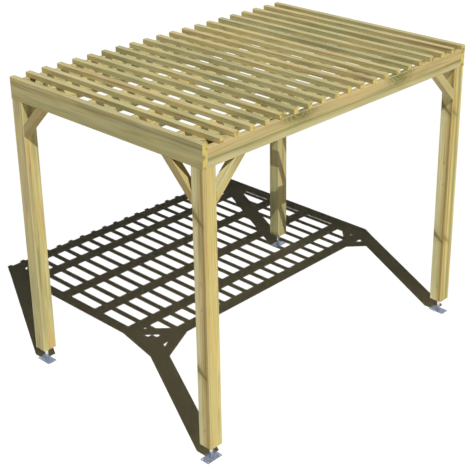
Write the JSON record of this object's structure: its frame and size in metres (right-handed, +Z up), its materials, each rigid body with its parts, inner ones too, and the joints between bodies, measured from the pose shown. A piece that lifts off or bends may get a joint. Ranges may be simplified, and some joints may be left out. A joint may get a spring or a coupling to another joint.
{
  "type": "pergola",
  "caption": "Flat-roofed open timber pergola: square posts on steel foot plates carry a beam ring, rafters and cross slats, stiffened by knee braces and ties, to shade a seat.",
  "frame": {"origin": "On the floor, in the middle of the plan.", "axes": "+X along the long side, +Y from the front long side to the back, +Z up."},
  "size_m": [3.046, 2.112, 2.508],
  "materials": {
    "post_timber": "planed pressure-treated pine, matt",
    "brace_timber": "planed pressure-treated pine, matt",
    "beam_timber": "planed pressure-treated pine, matt",
    "rafter_timber": "planed pressure-treated pine, matt",
    "slat_timber": "planed pressure-treated pine, matt",
    "galvanised_steel": "hot-dip galvanised, satin"
  },
  "bodies": {
    "root": {"post_front_left": "post_timber", "brace_x_front_left": "brace_timber", "brace_y_front_left": "brace_timber", "foot_front_left": "galvanised_steel", "post_front_right": "post_timber", "brace_x_front_right": "brace_timber", "brace_y_front_right": "brace_timber", "foot_front_right": "galvanised_steel", "post_back_left": "post_timber", "brace_x_back_left": "brace_timber", "brace_y_back_left": "brace_timber", "foot_back_left": "galvanised_steel", "post_back_right": "post_timber", "brace_x_back_right": "brace_timber", "brace_y_back_right": "brace_timber", "foot_back_right": "galvanised_steel", "beam_left": "beam_timber", "beam_right": "beam_timber", "beam_front": "beam_timber", "beam_back": "beam_timber", "rafter_1": "rafter_timber", "rafter_2": "rafter_timber", "rafter_3": "rafter_timber", "rafter_4": "rafter_timber", "ledger_left": "rafter_timber", "ledger_right": "rafter_timber", "tie_front_left": "brace_timber", "tie_front_right": "brace_timber", "tie_back_left": "brace_timber", "tie_back_right": "brace_timber", "slat_01": "slat_timber", "slat_02": "slat_timber", "slat_03": "slat_timber", "slat_04": "slat_timber", "slat_05": "slat_timber", "slat_06": "slat_timber", "slat_07": "slat_timber", "slat_08": "slat_timber", "slat_09": "slat_timber", "slat_10": "slat_timber", "slat_11": "slat_timber", "slat_12": "slat_timber", "slat_13": "slat_timber", "slat_14": "slat_timber", "slat_15": "slat_timber", "slat_16": "slat_timber", "slat_17": "slat_timber", "slat_18": "slat_timber", "slat_19": "slat_timber"}
  },
  "joints": []
}
